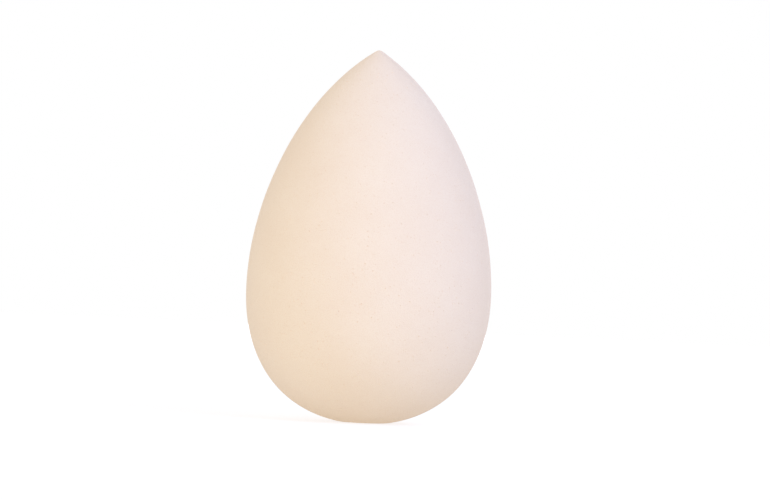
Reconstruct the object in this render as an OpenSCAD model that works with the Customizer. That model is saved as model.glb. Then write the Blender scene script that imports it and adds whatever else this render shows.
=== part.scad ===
// Teardrop makeup sponge. It is one moulding of soft polyurethane foam: a thin skin of
// fine cells that grew against the mould, wrapped all round a core of larger open cells.
// Millimetres, +Z up. The sponge stands on its blunt end with the tip up, and the origin
// is the middle of the seat, the small flat that the blunt end is pressed into.

/* [Body] */
// Height from the seat to the top of the tip
sponge_height = 60; // [52:1:74]
// Width across the belly, the widest place
belly_width = 39.5; // [34:0.2:48]
// Height of the belly above the seat
belly_height = 21.2; // [18:0.5:26]

/* [Tip] */
// Angle between the two sides where they meet at the tip
tip_angle = 114; // [96:1:126]
// Radius of the rounding on the tip
tip_radius = 0.9; // [0.5:0.1:2]

/* [Seat] */
// Depth to which the round blunt end is pressed flat where the sponge stands
seat_depth = 0.3; // [0.2:0.1:1.2]

/* [Foam] */
// Thickness of the fine-celled skin, the same all round
skin_thickness = 0.8; // [0.4:0.1:1.6]

/* [Flow of the outline] */
// How straight the side leaves the tip, as a share of the way out to the belly
tip_flow_share = 0.69; // [0.62:0.01:0.8]
// How long the side stays upright above the belly, as a share of the height up to the tip
belly_flow_share = 0.31; // [0.2:0.01:0.34]
// How broad the blunt end is before it turns up, as a share of the belly's radius
base_flow_share = 0.55; // [0.48:0.01:0.78]

/* [Hidden] */

$fn = 128;

// Chords that each curve of the outline is drawn with
side_steps = 40;
base_steps = 32;
tip_steps = 6;

belly_radius = belly_width / 2;
tip_half_angle = tip_angle / 2;

// Top of the sharp point that the two sides would meet in without the rounding
sharp_tip_height = sponge_height - tip_radius + tip_radius / sin(tip_half_angle);

// Point of a cubic curve from a to d with the handles b and c, at t from 0 to 1
function curve_point(a, b, c, d, t) =
    pow(1 - t, 3) * a + 3 * t * pow(1 - t, 2) * b + 3 * t * t * (1 - t) * c + pow(t, 3) * d;

// The same curve as chords, without its first point
function curve(a, b, c, d, steps) =
    [for (i = [1:steps]) curve_point(a, b, c, d, i / steps)];

// Half outline of the round form that lies a given depth under the sponge's surface, as
// [radius, height] from the top of the tip down to the lowest point of the blunt end. The
// side flows into the belly upright, and the reach below the belly is set so that the
// curvature is the same above it and below it.
function outline(depth) =
    let (
        radius = belly_radius - depth,
        rounding = max(tip_radius - depth, 0),
        rounding_centre = sharp_tip_height - (depth + rounding) / sin(tip_half_angle),
        side_top = [rounding * cos(tip_half_angle), rounding_centre + rounding * sin(tip_half_angle)],
        side_down = [sin(tip_half_angle), -cos(tip_half_angle)],
        belly = [radius, belly_height],
        base = [0, depth - seat_depth],
        side_run = radius - side_top.x,
        tip_reach = tip_flow_share * side_run / sin(tip_half_angle),
        above_reach = belly_flow_share * (side_top.y - belly_height),
        base_reach = base_flow_share * radius,
        below_reach = above_reach * sqrt((radius - base_reach) / (side_run * (1 - tip_flow_share)))
    )
    concat(
        [for (i = [0:tip_steps])
            let (angle = 90 + (tip_half_angle - 90) * i / tip_steps)
            if (rounding > 0 || i == 0)
                [rounding * cos(angle), rounding_centre + rounding * sin(angle)]],
        curve(side_top, side_top + tip_reach * side_down, belly + [0, above_reach], belly, side_steps),
        curve(belly, belly - [0, below_reach], base + [base_reach, 0], base, base_steps)
    );

// Solid teardrop that lies a given depth under the sponge's surface. Its blunt end is cut
// flat at the same depth over the seat.
module teardrop(depth) {
    rotate_extrude()
        intersection() {
            polygon(outline(depth));
            translate([0, depth]) square([belly_width, sponge_height]);
        }
}

// Skin of fine cells, closed all round, which is all that shows and all that touches the face
module outer_skin() {
    color("#f6e6dc")
        difference() {
            teardrop(0);
            teardrop(skin_thickness);
        }
}

// Core of larger open cells, which fills the skin and grips it everywhere
module foam_core() {
    color("#f3d9c6") teardrop(skin_thickness);
}

outer_skin();
foam_core();
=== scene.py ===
"""Looks of a teardrop makeup sponge. A skin of fine-pored foam with its pores modelled one
by one closes round a core of larger open cells. Metres, in the frame of the model."""

import itertools
import math
from types import SimpleNamespace

import bpy
import numpy as np
from mathutils import Matrix, Vector, noise
from mathutils.geometry import delaunay_2d_cdt


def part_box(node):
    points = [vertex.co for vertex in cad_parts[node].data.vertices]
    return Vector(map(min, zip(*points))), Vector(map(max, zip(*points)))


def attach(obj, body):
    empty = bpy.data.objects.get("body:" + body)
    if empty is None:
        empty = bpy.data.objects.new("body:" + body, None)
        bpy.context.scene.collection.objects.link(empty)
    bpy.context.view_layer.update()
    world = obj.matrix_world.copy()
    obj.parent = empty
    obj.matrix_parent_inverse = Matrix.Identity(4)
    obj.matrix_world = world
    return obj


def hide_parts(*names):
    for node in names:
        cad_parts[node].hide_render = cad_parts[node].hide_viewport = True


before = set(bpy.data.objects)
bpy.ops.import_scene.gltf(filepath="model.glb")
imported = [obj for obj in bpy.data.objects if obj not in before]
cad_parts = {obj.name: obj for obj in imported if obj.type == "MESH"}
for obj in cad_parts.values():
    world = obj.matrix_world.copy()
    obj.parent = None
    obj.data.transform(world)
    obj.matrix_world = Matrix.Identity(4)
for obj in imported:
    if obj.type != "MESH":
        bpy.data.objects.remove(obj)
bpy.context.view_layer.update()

MM = 0.001
SEED = 7

# What the outline has besides the sizes that are read from the model. The side and the blunt
# end are cubic curves of many steps, and the tip's rounding and the flat seat have fewer points.
TIP_HALF_ANGLE = math.radians(114 / 2)
TIP_RADIUS = 0.9 * MM
SEAT_DEPTH = 0.3 * MM
TIP_FLOW_SHARE = 0.69
BELLY_FLOW_SHARE = 0.31
BASE_FLOW_SHARE = 0.55
CURVE_STEPS = 500
END_POINTS = 50

# The skin's outside, the core's outside and the skin's inner wall. Pores are tried from the
# largest radius to the smallest, and a higher rarity makes large ones rarer. A pore that comes
# nearer to another than the wall is left out. Its depth is a share of its radius, and it is a
# round bowl, or a plain hollow if it is smaller than the least bowl. Plain discs, one point
# each, then fill the room between the pores.
SKIN_FOAM = SimpleNamespace(
    pores=12000,
    pore_radius=(0.05 * MM, 0.14 * MM),
    rarity=4,
    depth_shares=(0.6, 1.0),
    least_bowl=0.085 * MM,
    wall=0.2 * MM,
    plain=60000,
    plain_radius=0.15 * MM,
)
CORE_FOAM = SimpleNamespace(
    pores=5000,
    pore_radius=(0.3 * MM, 0.62 * MM),
    rarity=1.5,
    depth_shares=(0.8, 1.2),
    least_bowl=0,
    wall=0.14 * MM,
    plain=30000,
    plain_radius=0.2 * MM,
)
INNER_WALL = SimpleNamespace(
    pores=0,
    pore_radius=(0, 0),
    rarity=1,
    depth_shares=(0, 0),
    least_bowl=0,
    wall=0.3 * MM,
    plain=9000,
    plain_radius=0.5 * MM,
)

# Sides of a pore's rim, on the smallest and the largest
RIM_SIDES = (5, 9)
# How much narrower than long a rim may be, as a share of its radius
OVAL_SHARE = 0.3
# Ring partway down a pore: shares of its radius and of its depth
BOWL_RADIUS_SHARE = 0.7
BOWL_DEPTH_SHARE = 0.66

# Columns of a place on a surface: where it is on the even scale and its angle, its depth under
# the surface, the share of a pore's whole depth that this is, and the number of its pore
EVEN, ANGLE, DEPTH, SHARE, PORE = range(5)
NO_PORE = -1

# Angle of the seam at the back, along which the unwrapped map is cut
SEAM = -math.pi

# Output of the triangulation: all the triangles inside the hull of the points
WHOLE_HULL = 0

# Rings of points that close the surface round the tip and round the middle of the seat, and
# the radius inside which there is nothing else
POLE_SIDES = 12
POLE_RADII = (0.07 * MM, 0.95 * MM)
POLE_CLEAR = 1.3 * MM

# Slow swell of the moulded surface, and the height over which it fades in above the seat
SWELL_HEIGHT = 0.04 * MM
SWELL_LENGTH = 7 * MM
SWELL_FADE = 6 * MM

# Gap between the core and the skin that it fills
CORE_GAP = 0.02 * MM

# Bands of the unwrapped map that an outside and the skin's inner wall take, and the margin at
# the map's sides
OUTSIDE_BAND = (0.12, 0.99)
INSIDE_BAND = (0.01, 0.1)
MAP_EDGE = 0.015

# Camera: the photograph's frame and how the sponge lies in it
FRAME_WIDTH = 770
FRAME_HEIGHT = 500
SEAT_PIXEL = (362.82, 422.25)
PIXEL_SIZE = 0.1612 * MM
LEAN = math.radians(2.57)
LENS_MM = 200
SENSOR_MM = 36

# Looks of the skin and of the core. The foam's colour goes from deep to pale in mottles. The
# in_pore colour is painted shade, a darker colour painted into hollows where shade falls, and
# the modelled pores take a share of it, the painted pore shade, that grows with their depth.
# Then come the spacing of the drawn cells and pits, and how far they sink in.
SKIN_LOOK = SimpleNamespace(
    pale=(0.96, 0.82, 0.727),
    deep=(0.94, 0.79, 0.692),
    # painted shade: the darker colour painted into the hollows
    in_pore=(0.88, 0.69, 0.58),
    painted_pore_shade=0.55,
    mottle_length=9 * MM,
    cell=0.16 * MM,
    cell_relief=0.012 * MM,
    pit=0.3 * MM,
    pit_relief=0.02 * MM,
)
CORE_LOOK = SimpleNamespace(
    pale=(0.91, 0.74, 0.61),
    deep=(0.88, 0.69, 0.55),
    # painted shade: the darker colour painted into the hollows
    in_pore=(0.8, 0.56, 0.41),
    painted_pore_shade=1,
    mottle_length=6 * MM,
    cell=0.2 * MM,
    cell_relief=0.03 * MM,
    pit=0.5 * MM,
    pit_relief=0.1 * MM,
)

# Hollows that the material draws in the surface: fine cells side by side, and pits. Radii are
# shares of the spacing, and each hollow's even floor is a share of its radius. The hollows get
# painted shade: the cells take a share of the in_pore colour, and the pits all of it. The pits
# are bent out of round by a share of their spacing, and clusters of them are several spacings
# long.
HOLLOW_FLOOR = 0.2
CELL_REACHES = (0.5, 0.75)
CELL_PAINTED_SHADE = 0.35
PIT_REACHES = (0.12, 0.5)
PIT_BEND = 0.25
PIT_CLUSTER = 6

# Finish of the foam. Its roughness goes from the first value to the second with the mottles.
ROUGHNESS = (0.82, 0.96)
SPECULAR = 0.25
SHEEN = 0.04
SHEEN_ROUGHNESS = 0.6

# Detail of the noise in the mottles and clusters, and its range, which is spread from 0 to 1
NOISE_DETAIL = 4
NOISE_RANGE = (0.3, 0.7)

# Sockets of a Mix node that mixes colours
MIX_SHARE, MIX_LOW, MIX_HIGH, MIX_RESULT = 0, 6, 7, 2

# Light. The room glows evenly. Each broad lamp has its azimuth from the front to the right
# and its elevation in degrees, and the light that it adds to a white surface facing it where
# the floor hides no part of the lamp.
WHITE = (1, 1, 1)
ROOM_LIGHT = (0.69, 0.658, 0.598)
LAMPS = [
    SimpleNamespace(name="front_lamp", azimuth=-20, elevation=5, light=(0.34, 0.33, 0.25)),
    SimpleNamespace(name="cool_lamp", azimuth=50, elevation=30, light=(0.13, 0.21, 0.42)),
    SimpleNamespace(name="back_lamp", azimuth=176, elevation=10, light=(0.33, 0.34, 0.39)),
]
LAMP_DISTANCE = 0.9
LAMP_WIDTH = 0.5

# The floor gives back some light and glows a little, as a light table does. What the camera
# sees of it glows more, to white, except in the sponge's shadow.
FLOOR_COLOUR = (0.3, 0.3, 0.3)
FLOOR_GLOW = (0.52, 0.49, 0.41)
FLOOR_SEEN_COLOUR = (0.45, 0.45, 0.45)
FLOOR_SEEN_GLOW = (0.645, 0.657, 0.687)
FLOOR_SIZE = 1.6
FLOOR_GAP = 0.02 * MM


def read_sizes():
    """The sponge's own sizes, read from the model's skin and core."""
    low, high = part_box("outer_skin")
    points = np.array([v.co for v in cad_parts["outer_skin"].data.vertices])
    widest = np.hypot(points[:, 0], points[:, 1]).argmax()
    return SimpleNamespace(
        height=high.z,
        radius=float(np.hypot(*points[widest, :2])),
        belly_height=float(points[widest, 2]),
        skin=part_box("foam_core")[0].z - low.z,
    )


size = read_sizes()


def running_sum(steps):
    """Where each step starts, counted from 0, and where the last one ends."""
    return np.concatenate([[0], np.cumsum(steps)])


class RoundSurface:
    """A surface of revolution. A place on it is how far it lies from the tip on an even scale,
    and an angle round the axis from the front. A step along the even scale is as long as the
    same step of angle."""

    def __init__(self, outline):
        self.radius, self.height = outline.T
        step = np.linalg.norm(np.diff(outline, axis=0), axis=1)
        middle = (self.radius[1:] + self.radius[:-1]) / 2
        self.along = running_sum(step)
        self.area = running_sum(step * middle * math.tau)
        self.even = running_sum(step / middle)
        down = np.gradient(outline, self.along, axis=0)
        self.slope = np.arctan2(down[:, 0], -down[:, 1])
        self.belly = int(self.radius.argmax())

    def radius_at(self, even):
        return np.interp(even, self.even, self.radius)

    def share_at(self, even):
        """How far down the outline a place lies, from 0 at the tip to 1 at the seat's middle."""
        return np.interp(even, self.even, self.along) / self.along[-1]

    def near_tip(self, radius):
        """Where on the even scale the surface has this radius above the belly."""
        return np.interp(radius, self.radius[: self.belly], self.even[: self.belly])

    def near_seat(self, radius):
        """Where on the even scale the surface has this radius below the belly."""
        return np.interp(radius, self.radius[: self.belly : -1], self.even[: self.belly : -1])

    def point(self, even, angle, depth):
        """Points in space at these places, each some depth under the surface."""
        slope = np.interp(even, self.even, self.slope)
        radius = self.radius_at(even) - depth * np.cos(slope)
        height = np.interp(even, self.even, self.height) - depth * np.sin(slope)
        return np.column_stack([radius * np.sin(angle), -radius * np.cos(angle), height])

    def seam_places(self, spacing):
        """Places along the seam with this spacing, clear of the tip and of the middle of the
        seat."""
        even = np.interp(np.arange(0, self.along[-1], spacing), self.along, self.even)
        return even[self.radius_at(even) > POLE_CLEAR]

    def random_places(self, count, draw):
        """Places spread at random, as thickly everywhere, but clear of the tip and of the
        middle of the seat."""
        even = np.interp(draw.uniform(0, self.area[-1], count), self.area, self.even)
        angle = draw.uniform(-math.pi, math.pi, count)
        clear = self.radius_at(even) > POLE_CLEAR
        return even[clear], angle[clear]


class Discs:
    """Discs that lie on a surface and come no nearer to each other than a wall."""

    def __init__(self, surface, widest, wall):
        self.surface = surface
        self.wall = wall
        self.pitch = 2 * widest + wall
        self.cells = {}

    def cell(self, spot):
        return tuple(int(x // self.pitch) for x in spot)

    def has_room(self, spot, radius):
        around = itertools.product(*((c - 1, c, c + 1) for c in self.cell(spot)))
        near = itertools.chain.from_iterable(self.cells.get(key, ()) for key in around)
        return all(math.dist(spot, other) >= radius + r + self.wall for other, r in near)

    def put(self, spot, radius):
        self.cells.setdefault(self.cell(spot), []).append((spot, radius))

    def lay(self, radii, draw):
        """Lays discs at random places in this order, and returns the places and the radii of
        those that found room."""
        even, angle = self.surface.random_places(len(radii), draw)
        kept = []
        for i, spot in enumerate(self.surface.point(even, angle, 0).tolist()):
            if self.has_room(spot, radii[i]):
                self.put(spot, radii[i])
                kept.append(i)
        return even[kept], angle[kept], radii[kept]


class Places:
    """A growing list of places on a surface, with a row for each."""

    def __init__(self):
        self.rows = np.zeros((0, PORE + 1))

    def add(self, even, angle, depth=0, share=0, pore=NO_PORE):
        """Adds places and returns their numbers."""
        first = len(self.rows)
        rows = np.column_stack(np.broadcast_arrays(even, angle, depth, share, pore))
        self.rows = np.concatenate([self.rows, rows])
        return np.arange(first, len(self.rows))


class Pores:
    """Pores at random places on a surface of foam, with the corners of all their rims in one
    list. Of is the pore that each corner belongs to, and after is the corner next to it."""

    def __init__(self, surface, foam, discs, draw):
        low, high = foam.pore_radius
        radii = np.sort(low + (high - low) * draw.random(foam.pores) ** foam.rarity)[::-1]
        self.even, self.angle, self.radius = discs.lay(radii, draw)
        self.depth = self.radius * draw.uniform(*foam.depth_shares, len(self.radius))
        self.is_bowl = self.radius >= foam.least_bowl
        sides = np.round(np.interp(self.radius, foam.pore_radius, RIM_SIDES)).astype(int)
        self.of = np.repeat(np.arange(len(sides)), sides)
        first = running_sum(sides)[self.of]
        corner = np.arange(len(self.of)) - first
        self.after = first + (corner + 1) % sides[self.of]
        scale = self.radius / surface.radius_at(self.even)
        self.set_steps(scale, math.tau * corner / sides[self.of], draw)

    def set_steps(self, scale, turn, draw):
        """Sets the step to each corner from the middle of its pore, along the even scale and in
        angle. A rim is an oval that leans at random."""
        start, lean, narrower = draw.random((3, len(scale)))[:, self.of]
        turn = turn + math.tau * start
        lean = math.pi * lean
        long = scale[self.of] * np.cos(turn)
        short = scale[self.of] * np.sin(turn) * (1 - OVAL_SHARE * narrower)
        self.step_even = long * np.cos(lean) - short * np.sin(lean)
        self.step_angle = long * np.sin(lean) + short * np.cos(lean)

    def add_rims(self, places):
        """Adds the rims' corners to the places, and returns their numbers."""
        even = self.even[self.of] + self.step_even
        angle = self.angle[self.of] + self.step_angle
        return places.add(even, angle, pore=self.of)

    def add_walls(self, places, rim):
        """Adds the places inside the pores, and returns the triangles of the pores' walls. A
        bowl has a ring of places between its rim and its bottom."""
        bottom = places.add(self.even, self.angle, self.depth, 1)[self.of]
        round_wall = self.is_bowl[self.of]
        of = self.of[round_wall]
        ring = np.zeros(len(self.of), int)
        ring[round_wall] = places.add(
            self.even[of] + BOWL_RADIUS_SHARE * self.step_even[round_wall],
            self.angle[of] + BOWL_RADIUS_SHARE * self.step_angle[round_wall],
            BOWL_DEPTH_SHARE * self.depth[of],
            BOWL_DEPTH_SHARE,
        )
        after = self.after
        return [
            np.column_stack([rim, rim[after], bottom])[~round_wall],
            np.column_stack([rim, rim[after], ring[after]])[round_wall],
            np.column_stack([rim, ring[after], ring])[round_wall],
            np.column_stack([ring, ring[after], bottom])[round_wall],
        ]


def cubic(a, b, c, d):
    """Points of a cubic curve from a to d with the handles b and c, without its first."""
    t = np.linspace(0, 1, CURVE_STEPS + 1)[1:, None]
    return (1 - t) ** 3 * a + 3 * t * (1 - t) ** 2 * b + 3 * t * t * (1 - t) * c + t**3 * d


def round_outline(depth):
    """The half outline some depth under the surface that the sponge has before its blunt end is
    pressed flat, as radius and height, from the tip down."""
    tip_height = size.height - TIP_RADIUS + TIP_RADIUS / math.sin(TIP_HALF_ANGLE)
    radius = size.radius - depth
    rounding = max(TIP_RADIUS - depth, 0)
    centre = tip_height - (depth + rounding) / math.sin(TIP_HALF_ANGLE)
    turn = np.linspace(math.pi / 2, TIP_HALF_ANGLE, END_POINTS)[:, None]
    tip = rounding * np.hstack([np.cos(turn), np.sin(turn)]) + [0, centre]
    side_down = np.array([math.sin(TIP_HALF_ANGLE), -math.cos(TIP_HALF_ANGLE)])
    belly = np.array([radius, size.belly_height])
    base = np.array([0, depth - SEAT_DEPTH])
    run = radius - tip[-1][0]
    tip_reach = TIP_FLOW_SHARE * run / math.sin(TIP_HALF_ANGLE)
    above = BELLY_FLOW_SHARE * (tip[-1][1] - size.belly_height)
    base_reach = BASE_FLOW_SHARE * radius
    below = above * math.sqrt((radius - base_reach) / (run * (1 - TIP_FLOW_SHARE)))
    side = cubic(tip[-1], tip[-1] + tip_reach * side_down, belly + [0, above], belly)
    blunt = cubic(belly, belly - [0, below], base + [base_reach, 0], base)
    return np.concatenate([tip, side, blunt])


def outline(depth):
    """The half outline some depth under the sponge's surface, from the tip down to the middle
    of the seat."""
    points = round_outline(depth)
    rim = np.interp(-depth, -points[:, 1], points[:, 0])
    flat = np.linspace([rim, depth], [0, depth], END_POINTS)
    return np.concatenate([points[points[:, 1] > depth], flat])


def pole_rings(surface):
    """Rings of places round the tip and round the middle of the seat, which start at the seam.
    The last ring is the one nearest the middle of the seat."""
    side = math.tau / POLE_SIDES
    at_tip = np.arange(surface.near_tip(POLE_RADII[0]), surface.near_tip(POLE_RADII[1]), side)
    at_seat = np.arange(surface.near_seat(POLE_RADII[1]), surface.near_seat(POLE_RADII[0]), side)
    rings = np.concatenate([at_tip, at_seat])
    angle = SEAM + side * np.arange(POLE_SIDES)
    return np.repeat(rings, POLE_SIDES), np.tile(angle, len(rings))


def triangles_between(rows, rim, rim_next):
    """Triangles between places on a surface, of which the first is the tip, with the pores
    left open. They are found on a plane that keeps the surface's angles, with the tip in its
    middle. Each side of a pore's rim and the seam are kept as edges."""
    even, angle = rows[:, EVEN], rows[:, ANGLE]
    reach = np.exp(even) * (np.arange(len(rows)) > 0)
    flat = np.column_stack([reach * np.cos(angle), reach * np.sin(angle)])
    seam = np.flatnonzero(angle == SEAM)
    seam = np.append(0, seam[even[seam].argsort()])
    kept = np.vstack([np.column_stack([rim, rim_next]), np.column_stack([seam[:-1], seam[1:]])])
    corners = [Vector(p) for p in flat]
    result = delaunay_2d_cdt(corners, kept.tolist(), [], WHOLE_HULL, 0)
    _, _, triangles, numbers, _, _ = result
    place = np.array([given[0] for given in numbers])
    faces = place[np.array(triangles)]
    pore = rows[faces, PORE]
    in_pore = (pore[:, 0] >= 0) & (pore[:, 0] == pore[:, 1]) & (pore[:, 1] == pore[:, 2])
    return faces[~in_pore]


def foam_surface(surface, foam, draw):
    """The places and the triangles of a closed surface of foam, whose pores are hollows. The
    seam's places are laid out first, then the pores, and then the plain discs."""
    discs = Discs(surface, max(*foam.pore_radius, foam.plain_radius), foam.wall)
    seam = surface.seam_places(2 * foam.plain_radius + foam.wall)
    for spot in surface.point(seam, SEAM, 0).tolist():
        discs.put(spot, foam.plain_radius)
    pores = Pores(surface, foam, discs, draw)
    even, angle, _ = discs.lay(np.full(foam.plain, foam.plain_radius), draw)
    places = Places()
    places.add(0, 0)
    rim = pores.add_rims(places)
    places.add(even, angle)
    places.add(seam, SEAM)
    rings = places.add(*pole_rings(surface))
    between = triangles_between(places.rows, rim, rim[pores.after])
    middle = places.add(surface.even[-1], 0)
    last_ring = rings[-POLE_SIDES:]
    seat = np.column_stack([np.roll(last_ring, -1), last_ring, np.repeat(middle, POLE_SIDES)])
    faces = np.concatenate([between, seat, *pores.add_walls(places, rim)])
    return places.rows, faces


def swell(points):
    """How far the moulded surface stands out at each point. It stays flat on the seat."""
    wave = np.array([noise.noise(Vector(p) / SWELL_LENGTH) for p in points])
    return SWELL_HEIGHT * wave * np.clip(points[:, 2] / SWELL_FADE, 0, 1)


def map_corners(surface, rows, faces, band):
    """The corners of the triangles on the unwrapped map. A corner at the tip or at the seat's
    middle lies above or below the middle of its triangle's far side."""
    even, angle = rows[faces, EVEN], rows[faces, ANGLE]
    angle = np.where(np.ptp(angle, axis=1, keepdims=True) > math.pi, angle % math.tau, angle)
    pole = (even <= 0) | (even >= surface.even[-1])
    far = np.where(pole, 0, angle).sum(axis=1) / np.maximum((~pole).sum(axis=1), 1)
    turn = np.where(pole, far[:, None], angle) / math.tau + 0.5
    across = np.clip(MAP_EDGE + (1 - 2 * MAP_EDGE) * turn, 0, 1)
    down = band[1] - (band[1] - band[0]) * surface.share_at(even)
    return np.stack([across, down], axis=2)


def foam_shell(depth, foam, draw, band, inward=False):
    """A closed shell of foam some depth under the sponge's surface: its points, its triangles,
    their corners on the unwrapped map, how deep in a pore each point is, from 0 to 1, and the
    number of the pore whose rim it is on."""
    surface = RoundSurface(outline(depth))
    rows, faces = foam_surface(surface, foam, draw)
    even, angle = rows[:, EVEN], rows[:, ANGLE]
    rise = swell(surface.point(even, angle, 0))
    if inward:
        faces = faces[:, ::-1]
    return SimpleNamespace(
        points=surface.point(even, angle, rows[:, DEPTH] - rise),
        faces=faces,
        corners=map_corners(surface, rows, faces, band),
        share=rows[:, SHARE],
        rim=rows[:, PORE],
    )


def sharpen_rims(mesh, rim):
    """Makes each side of a pore's rim a sharp edge, so that shading is smooth up to it."""
    ends = np.zeros(2 * len(mesh.edges), int)
    mesh.edges.foreach_get("vertices", ends)
    ends = rim[ends.reshape(-1, 2)]
    sharp = (ends[:, 0] >= 0) & (ends[:, 0] == ends[:, 1])
    mesh.attributes.new("sharp_edge", "BOOLEAN", "EDGE").data.foreach_set("value", sharp)


def foam_piece(name, shells, material):
    """One piece of the sponge, made of closed shells."""
    first = running_sum([len(shell.points) for shell in shells])
    points = np.concatenate([shell.points for shell in shells])
    faces = np.concatenate([shell.faces + start for shell, start in zip(shells, first)])
    corners = np.concatenate([shell.corners for shell in shells])
    share = np.concatenate([shell.share for shell in shells])
    mesh = bpy.data.meshes.new(name)
    mesh.from_pydata(points.tolist(), [], faces.tolist())
    mesh.uv_layers.new(name="OFBake").data.foreach_set("uv", corners.ravel())
    mesh.attributes.new("pore", "FLOAT", "POINT").data.foreach_set("value", share)
    mesh.shade_smooth()
    sharpen_rims(mesh, np.concatenate([shell.rim for shell in shells]))
    mesh.materials.append(material)
    piece = bpy.data.objects.new(name, mesh)
    bpy.context.scene.collection.objects.link(piece)
    return piece


def opaque(colour):
    """The colour as its socket takes it, with full alpha. A node's output stays as it is."""
    return (*colour, 1) if isinstance(colour, tuple) else colour


class Shader:
    """The nodes of a material or of the world, added one by one."""

    def __init__(self, owner):
        owner.use_nodes = True
        self.tree = owner.node_tree
        self.tree.nodes.clear()

    def node(self, kind, inputs=(), **settings):
        """Adds a node with these settings. Each input is a value or another node's output."""
        node = self.tree.nodes.new(kind)
        for name, value in settings.items():
            setattr(node, name, value)
        for name, value in dict(inputs).items():
            if isinstance(value, bpy.types.NodeSocket):
                self.tree.links.new(value, node.inputs[name])
            else:
                node.inputs[name].default_value = value
        return node

    def mix(self, share, low, high):
        """A colour that goes from low to high with the share."""
        inputs = {MIX_SHARE: share, MIX_LOW: opaque(low), MIX_HIGH: opaque(high)}
        return self.node("ShaderNodeMix", inputs, data_type="RGBA").outputs[MIX_RESULT]

    def math(self, operation, first, second):
        """A number worked out from two others."""
        node = self.node("ShaderNodeMath", {0: first, 1: second}, operation=operation)
        return node.outputs["Value"]

    def patches(self, place, length):
        """Patches of about this length, from 0 to 1."""
        inputs = {"Vector": place, "Scale": 1 / length, "Detail": NOISE_DETAIL}
        value = self.node("ShaderNodeTexNoise", inputs).outputs["Fac"]
        low, high = NOISE_RANGE
        spread = {"Value": value, "From Min": low, "From Max": high}
        return self.node("ShaderNodeMapRange", spread).outputs["Result"]

    def seen(self):
        """1 for rays from the camera, reflections and glass, and 0 for light on a surface."""
        path = self.node("ShaderNodeLightPath").outputs
        seen = path["Is Camera Ray"]
        for kind in ("Is Glossy Ray", "Is Transmission Ray"):
            seen = self.math("MAXIMUM", seen, path[kind])
        return seen


def hollows(shader, place, spacing, reaches):
    """Round hollows of random sizes, one in each cell of foam. It returns how deep in one each
    place is, from 0 to 1, and a random share for each cell. Reaches are the least and the
    greatest radius, as shares of the spacing."""
    cells = shader.node("ShaderNodeTexVoronoi", {"Vector": place, "Scale": 1 / spacing})
    random = shader.node("ShaderNodeSeparateColor", {"Color": cells.outputs["Color"]}).outputs
    reach = shader.node(
        "ShaderNodeMapRange", {"Value": random["Red"], "To Min": reaches[0], "To Max": reaches[1]}
    )
    out = shader.math("DIVIDE", cells.outputs["Distance"], reach.outputs["Result"])
    depth = shader.node(
        "ShaderNodeMapRange",
        {"Value": out, "From Min": HOLLOW_FLOOR, "From Max": 1, "To Min": 1, "To Max": 0},
        interpolation_type="SMOOTHSTEP",
    )
    return depth.outputs["Result"], random["Green"]


def open_pits(shader, place, spacing):
    """How deep in a pit each place is, from 0 to 1. The pits are bent out of round and open
    more or less, in clusters."""
    warp = shader.node("ShaderNodeTexNoise", {"Vector": place, "Scale": 1 / spacing})
    bent = shader.node(
        "ShaderNodeVectorMath",
        {0: warp.outputs["Color"], 1: (PIT_BEND * spacing,) * 3, 2: place},
        operation="MULTIPLY_ADD",
    )
    pit, strength = hollows(shader, bent.outputs["Vector"], spacing, PIT_REACHES)
    cluster = shader.patches(place, PIT_CLUSTER * spacing)
    return shader.math("MULTIPLY", pit, shader.math("MULTIPLY", strength, cluster))


def sunk(shader, depth, relief, normal=None):
    """The direction that a surface faces where hollows sink into it by this relief."""
    inputs = {"Height": depth, "Distance": relief}
    if normal:
        inputs["Normal"] = normal
    return shader.node("ShaderNodeBump", inputs, invert=True).outputs["Normal"]


def foam_material(name, look):
    """Matt foam: a mottled colour, fine cells side by side, and among them pits. The cells, the
    pits and the modelled pores get painted shade, a deeper colour that grows with their depth."""
    material = bpy.data.materials.new(name)
    shader = Shader(material)
    place = shader.node("ShaderNodeTexCoord").outputs["Object"]
    mottle = shader.patches(place, look.mottle_length)
    cell, _ = hollows(shader, place, look.cell, CELL_REACHES)
    pit = open_pits(shader, place, look.pit)
    pore = shader.node("ShaderNodeAttribute", attribute_name="pore").outputs["Fac"]
    colour = shader.mix(mottle, look.deep, look.pale)
    # painted shade: each hollow's depth mixes in the darker in_pore colour
    for depth, painted_shade in ((cell, CELL_PAINTED_SHADE), (pit, 1), (pore, look.painted_pore_shade)):
        colour = shader.mix(shader.math("MULTIPLY", depth, painted_shade), colour, look.in_pore)
    low, high = ROUGHNESS
    rough = shader.node("ShaderNodeMapRange", {"Value": mottle, "To Min": low, "To Max": high})
    in_pits = sunk(shader, pit, look.pit_relief)
    normal = sunk(shader, cell, look.cell_relief, in_pits)
    foam = shader.node(
        "ShaderNodeBsdfPrincipled",
        {
            "Base Color": colour,
            "Roughness": rough.outputs["Result"],
            "Normal": normal,
            "Specular IOR Level": SPECULAR,
            "Sheen Weight": SHEEN,
            "Sheen Roughness": SHEEN_ROUGHNESS,
        },
    )
    shader.node("ShaderNodeOutputMaterial", {"Surface": foam.outputs["BSDF"]})
    return material


def make_skin(draw):
    """The skin, with pores in its outside and a plain inner wall."""
    outside = foam_shell(0, SKIN_FOAM, draw, OUTSIDE_BAND)
    inside = foam_shell(size.skin, INNER_WALL, draw, INSIDE_BAND, inward=True)
    return foam_piece("foam_skin_piece", [outside, inside], foam_material("skin_foam", SKIN_LOOK))


def make_core(draw):
    """The core of larger open cells, which fills the skin."""
    outside = foam_shell(size.skin + CORE_GAP, CORE_FOAM, draw, OUTSIDE_BAND)
    return foam_piece("foam_core_piece", [outside], foam_material("core_foam", CORE_LOOK))


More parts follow.
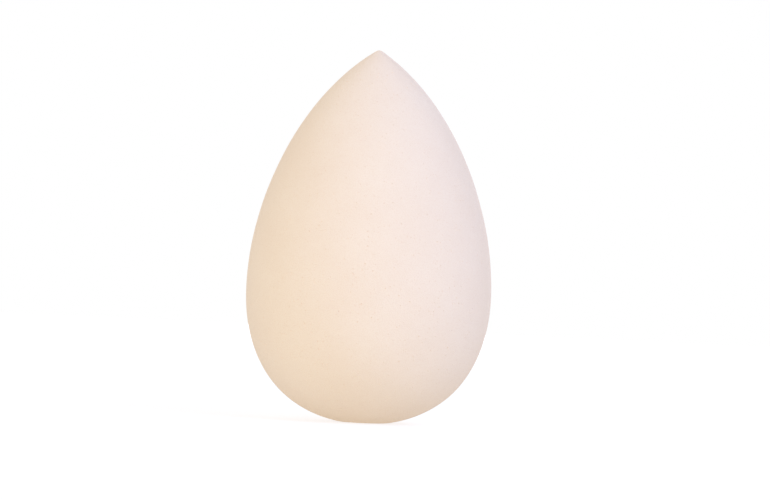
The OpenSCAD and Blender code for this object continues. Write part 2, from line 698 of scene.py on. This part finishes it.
def light_room():
    """Even light from all round. The camera and reflections see plain white."""
    world = bpy.data.worlds.new("room")
    bpy.context.scene.world = world
    shader = Shader(world)
    shown = shader.mix(shader.seen(), ROOM_LIGHT, WHITE)
    light = shader.node("ShaderNodeBackground", {"Color": shown})
    shader.node("ShaderNodeOutputWorld", {"Surface": light.outputs["Background"]})


def add_lamp(lamp):
    """A broad square lamp that points at the sponge's belly. From afar, a lamp of one watt adds
    1 / (pi * distance) ** 2 to a white surface that faces it."""
    data = bpy.data.lights.new(lamp.name, "AREA")
    data.shape, data.size = "SQUARE", LAMP_WIDTH
    data.energy = max(lamp.light) * (math.pi * LAMP_DISTANCE) ** 2
    data.color = [part / max(lamp.light) for part in lamp.light]
    azimuth, elevation = math.radians(lamp.azimuth), math.radians(lamp.elevation)
    side = Vector((math.sin(azimuth), -math.cos(azimuth), math.tan(elevation))).normalized()
    piece = bpy.data.objects.new(lamp.name, data)
    piece.location = Vector((0, 0, size.belly_height)) + LAMP_DISTANCE * side
    piece.rotation_euler = side.to_track_quat("Z", "Y").to_euler()
    bpy.context.scene.collection.objects.link(piece)


def floor_material():
    """It gives back some light and glows. The camera sees it white, but for the soft shadow."""
    material = bpy.data.materials.new("floor")
    shader = Shader(material)
    seen = shader.seen()
    colour = shader.mix(seen, FLOOR_COLOUR, FLOOR_SEEN_COLOUR)
    glow = shader.mix(seen, FLOOR_GLOW, FLOOR_SEEN_GLOW)
    pale = shader.node("ShaderNodeBsdfDiffuse", {"Color": colour})
    light = shader.node("ShaderNodeEmission", {"Color": glow})
    parts = {0: pale.outputs["BSDF"], 1: light.outputs["Emission"]}
    both = shader.node("ShaderNodeAddShader", parts)
    shader.node("ShaderNodeOutputMaterial", {"Surface": both.outputs["Shader"]})
    return material


def add_floor():
    """A square floor just under the seat."""
    half = FLOOR_SIZE / 2
    mesh = bpy.data.meshes.new("floor")
    corners = [(-half, -half), (half, -half), (half, half), (-half, half)]
    mesh.from_pydata([(x, y, -FLOOR_GAP) for x, y in corners], [], [(0, 1, 2, 3)])
    mesh.materials.append(floor_material())
    floor = bpy.data.objects.new("floor", mesh)
    bpy.context.scene.collection.objects.link(floor)


def add_camera():
    """The photograph's view: level, from the front, and turned so that the sponge leans."""
    right = Vector((math.cos(LEAN), 0, math.sin(LEAN)))
    up = Vector((-math.sin(LEAN), 0, math.cos(LEAN)))
    distance = FRAME_WIDTH * PIXEL_SIZE * LENS_MM / SENSOR_MM
    across = (FRAME_WIDTH / 2 - SEAT_PIXEL[0]) * PIXEL_SIZE
    above = (SEAT_PIXEL[1] - FRAME_HEIGHT / 2) * PIXEL_SIZE
    data = bpy.data.cameras.new("camera")
    data.lens, data.sensor_width = LENS_MM, SENSOR_MM
    camera = bpy.data.objects.new("camera", data)
    turn = Matrix((right, up, Vector((0, -1, 0)))).transposed().to_4x4()
    place = across * right + above * up - Vector((0, distance, 0))
    camera.matrix_world = Matrix.Translation(place) @ turn
    bpy.context.scene.collection.objects.link(camera)
    bpy.context.scene.camera = camera


draw = np.random.default_rng(SEED)
skin = make_skin(draw)
core = make_core(draw)
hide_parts("outer_skin")
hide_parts("foam_core")
for piece, slot in [(skin, "foam_skin"), (core, "foam_inside")]:
    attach(piece, "root")

light_room()
for lamp in LAMPS:
    add_lamp(lamp)
add_floor()
add_camera()
bpy.context.scene.view_settings.view_transform = "Standard"
